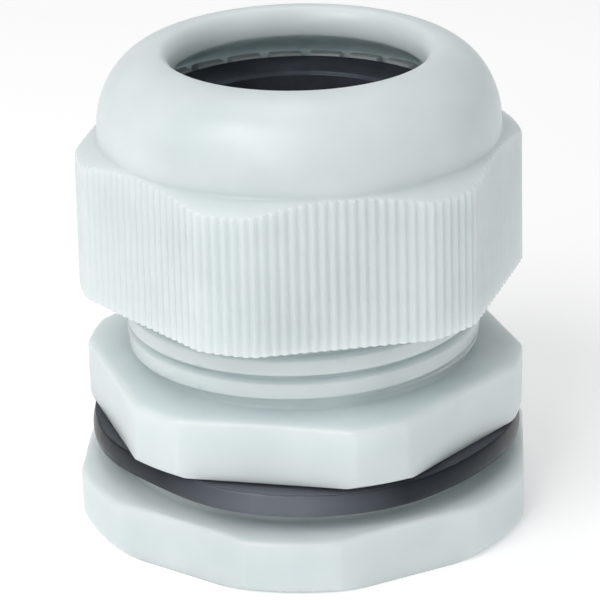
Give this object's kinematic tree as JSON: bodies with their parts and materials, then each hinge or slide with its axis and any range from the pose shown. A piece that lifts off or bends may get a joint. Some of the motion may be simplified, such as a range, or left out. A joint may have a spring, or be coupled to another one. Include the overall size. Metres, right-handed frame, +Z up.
{
  "type": "cable gland",
  "caption": "Nylon cable gland: hexagon body on a threaded entry, domed clamping nut over bending claws and a rubber insert, sealing washer and locknut.",
  "frame": {"origin": "on the gland's axis, at the locknut's underside, which is the centre of the bounding box's lower face", "axes": "+Z up the gland's axis from the entry thread to the dome; -Y is the side that the picture looks at; +X to its right"},
  "size_m": [0.047, 0.0484, 0.049],
  "materials": {
    "nylon": "satin moulded pale grey nylon",
    "insert_rubber": "smooth black rubber",
    "washer_rubber": "smooth black rubber with a soft sheen"
  },
  "bodies": {
    "gland_body": {"gland_body": "nylon"},
    "sealing_insert": {"sealing_insert": "insert_rubber"},
    "dome_nut": {"dome_nut": "nylon"},
    "washer": {"washer": "washer_rubber"},
    "locknut": {"locknut": "nylon"},
    "claw_01": {"claw_01": "nylon"},
    "claw_02": {"claw_02": "nylon"},
    "claw_03": {"claw_03": "nylon"},
    "claw_04": {"claw_04": "nylon"},
    "claw_05": {"claw_05": "nylon"},
    "claw_06": {"claw_06": "nylon"},
    "claw_07": {"claw_07": "nylon"},
    "claw_08": {"claw_08": "nylon"},
    "claw_09": {"claw_09": "nylon"},
    "claw_10": {"claw_10": "nylon"},
    "claw_11": {"claw_11": "nylon"},
    "claw_12": {"claw_12": "nylon"},
    "claw_13": {"claw_13": "nylon"},
    "claw_14": {"claw_14": "nylon"},
    "claw_15": {"claw_15": "nylon"},
    "claw_16": {"claw_16": "nylon"},
    "claw_17": {"claw_17": "nylon"},
    "claw_18": {"claw_18": "nylon"},
    "claw_19": {"claw_19": "nylon"},
    "claw_20": {"claw_20": "nylon"},
    "claw_21": {"claw_21": "nylon"},
    "claw_22": {"claw_22": "nylon"},
    "claw_23": {"claw_23": "nylon"},
    "claw_24": {"claw_24": "nylon"}
  },
  "joints": [
    {"name": "locknut_travel", "type": "slide", "parent": "gland_body", "child": "washer", "axis": [0, 0, 1], "range_m": [-0.00635, 0]},
    {"name": "locknut_turn", "type": "hinge", "parent": "washer", "child": "locknut", "pos_m": [0, 0, 0.0035], "axis": [0, 0, 1], "range_deg": [-1441, 0]},
    {"name": "dome_nut_turn", "type": "hinge", "parent": "gland_body", "child": "sealing_insert", "pos_m": [0, 0, 0.03], "axis": [0, 0, -1], "range_deg": [0, 369], "deforming": ["sealing_insert"]},
    {"name": "dome_nut_travel", "type": "slide", "parent": "sealing_insert", "child": "dome_nut", "axis": [0, 0, -1], "range_m": [0, 0.00256]},
    {"name": "claw_01_bend", "type": "hinge", "parent": "gland_body", "child": "claw_01", "pos_m": [0.0167, 0.00134, 0.0293], "axis": [0.0802, -0.9968, 0], "range_deg": [0, 13.4]},
    {"name": "claw_02_bend", "type": "hinge", "parent": "gland_body", "child": "claw_02", "pos_m": [0.01578, 0.00562, 0.0293], "axis": [0.3355, -0.9421, 0], "range_deg": [0, 13.4]},
    {"name": "claw_03_bend", "type": "hinge", "parent": "gland_body", "child": "claw_03", "pos_m": [0.01379, 0.00951, 0.0293], "axis": [0.5678, -0.8231, 0], "range_deg": [0, 13.4]},
    {"name": "claw_04_bend", "type": "hinge", "parent": "gland_body", "child": "claw_04", "pos_m": [0.01086, 0.01276, 0.0293], "axis": [0.7615, -0.6481, 0], "range_deg": [0, 13.4]},
    {"name": "claw_05_bend", "type": "hinge", "parent": "gland_body", "child": "claw_05", "pos_m": [0.00719, 0.01513, 0.0293], "axis": [0.9033, -0.4289, 0], "range_deg": [0, 13.4]},
    {"name": "claw_06_bend", "type": "hinge", "parent": "gland_body", "child": "claw_06", "pos_m": [0.00302, 0.01648, 0.0293], "axis": [0.9836, -0.1805, 0], "range_deg": [0, 13.4]},
    {"name": "claw_07_bend", "type": "hinge", "parent": "gland_body", "child": "claw_07", "pos_m": [-0.00134, 0.0167, 0.0293], "axis": [0.9968, 0.0802, 0], "range_deg": [0, 13.4]},
    {"name": "claw_08_bend", "type": "hinge", "parent": "gland_body", "child": "claw_08", "pos_m": [-0.00562, 0.01578, 0.0293], "axis": [0.9421, 0.3355, 0], "range_deg": [0, 13.4]},
    {"name": "claw_09_bend", "type": "hinge", "parent": "gland_body", "child": "claw_09", "pos_m": [-0.00951, 0.01379, 0.0293], "axis": [0.8231, 0.5678, 0], "range_deg": [0, 13.4]},
    {"name": "claw_10_bend", "type": "hinge", "parent": "gland_body", "child": "claw_10", "pos_m": [-0.01276, 0.01086, 0.0293], "axis": [0.6481, 0.7615, 0], "range_deg": [0, 13.4]},
    {"name": "claw_11_bend", "type": "hinge", "parent": "gland_body", "child": "claw_11", "pos_m": [-0.01513, 0.00719, 0.0293], "axis": [0.4289, 0.9033, 0], "range_deg": [0, 13.4]},
    {"name": "claw_12_bend", "type": "hinge", "parent": "gland_body", "child": "claw_12", "pos_m": [-0.01648, 0.00302, 0.0293], "axis": [0.1805, 0.9836, 0], "range_deg": [0, 13.4]},
    {"name": "claw_13_bend", "type": "hinge", "parent": "gland_body", "child": "claw_13", "pos_m": [-0.0167, -0.00134, 0.0293], "axis": [-0.0802, 0.9968, 0], "range_deg": [0, 13.4]},
    {"name": "claw_14_bend", "type": "hinge", "parent": "gland_body", "child": "claw_14", "pos_m": [-0.01578, -0.00562, 0.0293], "axis": [-0.3355, 0.9421, 0], "range_deg": [0, 13.4]},
    {"name": "claw_15_bend", "type": "hinge", "parent": "gland_body", "child": "claw_15", "pos_m": [-0.01379, -0.00951, 0.0293], "axis": [-0.5678, 0.8231, 0], "range_deg": [0, 13.4]},
    {"name": "claw_16_bend", "type": "hinge", "parent": "gland_body", "child": "claw_16", "pos_m": [-0.01086, -0.01276, 0.0293], "axis": [-0.7615, 0.6481, 0], "range_deg": [0, 13.4]},
    {"name": "claw_17_bend", "type": "hinge", "parent": "gland_body", "child": "claw_17", "pos_m": [-0.00719, -0.01513, 0.0293], "axis": [-0.9033, 0.4289, 0], "range_deg": [0, 13.4]},
    {"name": "claw_18_bend", "type": "hinge", "parent": "gland_body", "child": "claw_18", "pos_m": [-0.00302, -0.01648, 0.0293], "axis": [-0.9836, 0.1805, 0], "range_deg": [0, 13.4]},
    {"name": "claw_19_bend", "type": "hinge", "parent": "gland_body", "child": "claw_19", "pos_m": [0.00134, -0.0167, 0.0293], "axis": [-0.9968, -0.0802, 0], "range_deg": [0, 13.4]},
    {"name": "claw_20_bend", "type": "hinge", "parent": "gland_body", "child": "claw_20", "pos_m": [0.00562, -0.01578, 0.0293], "axis": [-0.9421, -0.3355, 0], "range_deg": [0, 13.4]},
    {"name": "claw_21_bend", "type": "hinge", "parent": "gland_body", "child": "claw_21", "pos_m": [0.00951, -0.01379, 0.0293], "axis": [-0.8231, -0.5678, 0], "range_deg": [0, 13.4]},
    {"name": "claw_22_bend", "type": "hinge", "parent": "gland_body", "child": "claw_22", "pos_m": [0.01276, -0.01086, 0.0293], "axis": [-0.6481, -0.7615, 0], "range_deg": [0, 13.4]},
    {"name": "claw_23_bend", "type": "hinge", "parent": "gland_body", "child": "claw_23", "pos_m": [0.01513, -0.00719, 0.0293], "axis": [-0.4289, -0.9033, 0], "range_deg": [0, 13.4]},
    {"name": "claw_24_bend", "type": "hinge", "parent": "gland_body", "child": "claw_24", "pos_m": [0.01648, -0.00302, 0.0293], "axis": [-0.1805, -0.9836, 0], "range_deg": [0, 13.4]}
  ],
  "couplings": [
    {"joint": "locknut_turn", "follows": "locknut_travel", "rad_per_m": 3957.9},
    {"joint": "dome_nut_turn", "follows": "dome_nut_travel", "rad_per_m": 2513.3},
    {"joint": "claw_01_bend", "follows": "dome_nut_travel", "rad_per_m": 89.993},
    {"joint": "claw_02_bend", "follows": "dome_nut_travel", "rad_per_m": 89.993},
    {"joint": "claw_03_bend", "follows": "dome_nut_travel", "rad_per_m": 89.993},
    {"joint": "claw_04_bend", "follows": "dome_nut_travel", "rad_per_m": 89.993},
    {"joint": "claw_05_bend", "follows": "dome_nut_travel", "rad_per_m": 89.993},
    {"joint": "claw_06_bend", "follows": "dome_nut_travel", "rad_per_m": 89.993},
    {"joint": "claw_07_bend", "follows": "dome_nut_travel", "rad_per_m": 89.993},
    {"joint": "claw_08_bend", "follows": "dome_nut_travel", "rad_per_m": 89.993},
    {"joint": "claw_09_bend", "follows": "dome_nut_travel", "rad_per_m": 89.993},
    {"joint": "claw_10_bend", "follows": "dome_nut_travel", "rad_per_m": 89.993},
    {"joint": "claw_11_bend", "follows": "dome_nut_travel", "rad_per_m": 89.993},
    {"joint": "claw_12_bend", "follows": "dome_nut_travel", "rad_per_m": 89.993},
    {"joint": "claw_13_bend", "follows": "dome_nut_travel", "rad_per_m": 89.993},
    {"joint": "claw_14_bend", "follows": "dome_nut_travel", "rad_per_m": 89.993},
    {"joint": "claw_15_bend", "follows": "dome_nut_travel", "rad_per_m": 89.993},
    {"joint": "claw_16_bend", "follows": "dome_nut_travel", "rad_per_m": 89.993},
    {"joint": "claw_17_bend", "follows": "dome_nut_travel", "rad_per_m": 89.993},
    {"joint": "claw_18_bend", "follows": "dome_nut_travel", "rad_per_m": 89.993},
    {"joint": "claw_19_bend", "follows": "dome_nut_travel", "rad_per_m": 89.993},
    {"joint": "claw_20_bend", "follows": "dome_nut_travel", "rad_per_m": 89.993},
    {"joint": "claw_21_bend", "follows": "dome_nut_travel", "rad_per_m": 89.993},
    {"joint": "claw_22_bend", "follows": "dome_nut_travel", "rad_per_m": 89.993},
    {"joint": "claw_23_bend", "follows": "dome_nut_travel", "rad_per_m": 89.993},
    {"joint": "claw_24_bend", "follows": "dome_nut_travel", "rad_per_m": 89.993}
  ]
}
